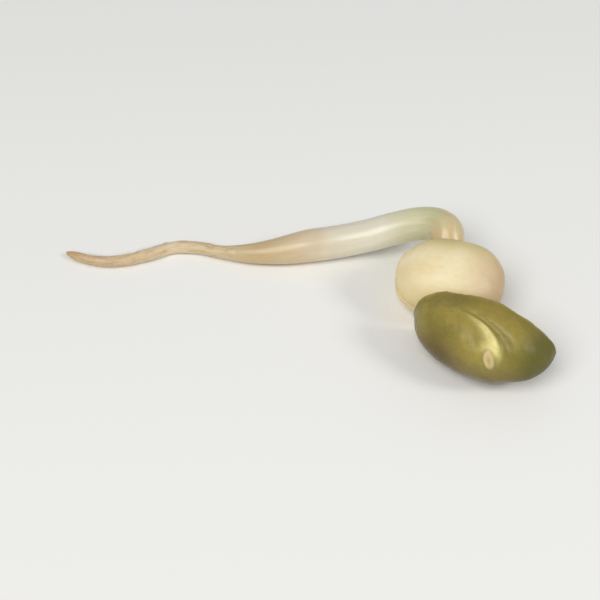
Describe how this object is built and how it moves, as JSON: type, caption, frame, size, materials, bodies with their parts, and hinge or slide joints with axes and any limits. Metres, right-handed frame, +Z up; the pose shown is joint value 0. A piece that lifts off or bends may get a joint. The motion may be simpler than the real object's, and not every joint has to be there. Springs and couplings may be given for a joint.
{
  "type": "mung bean sprout",
  "caption": "Young mung bean sprout lying on its side: cream seed leaves, an olive seed coat slipping off them, and a hooked white stem that tapers into a wavy root.",
  "frame": {"origin": "middle of the bottom of the sprout's bounding box, on the surface it lies on", "axes": "+X towards the bean end, with the root running to -X; +Y towards the side where the stem leaves the bean in its hook, with the seed coat at -Y; +Z up"},
  "size_m": [0.0314, 0.0138, 0.0051],
  "materials": {
    "cotyledon": "satin",
    "seed_coat": "moist gloss",
    "stem": "satin",
    "first_leaf": "satin"
  },
  "bodies": {
    "root": {"cotyledon_upper": "cotyledon", "cotyledon_lower": "cotyledon", "first_leaves": "first_leaf", "seed_coat": "seed_coat", "hypocotyl_and_root": "stem"}
  },
  "joints": []
}
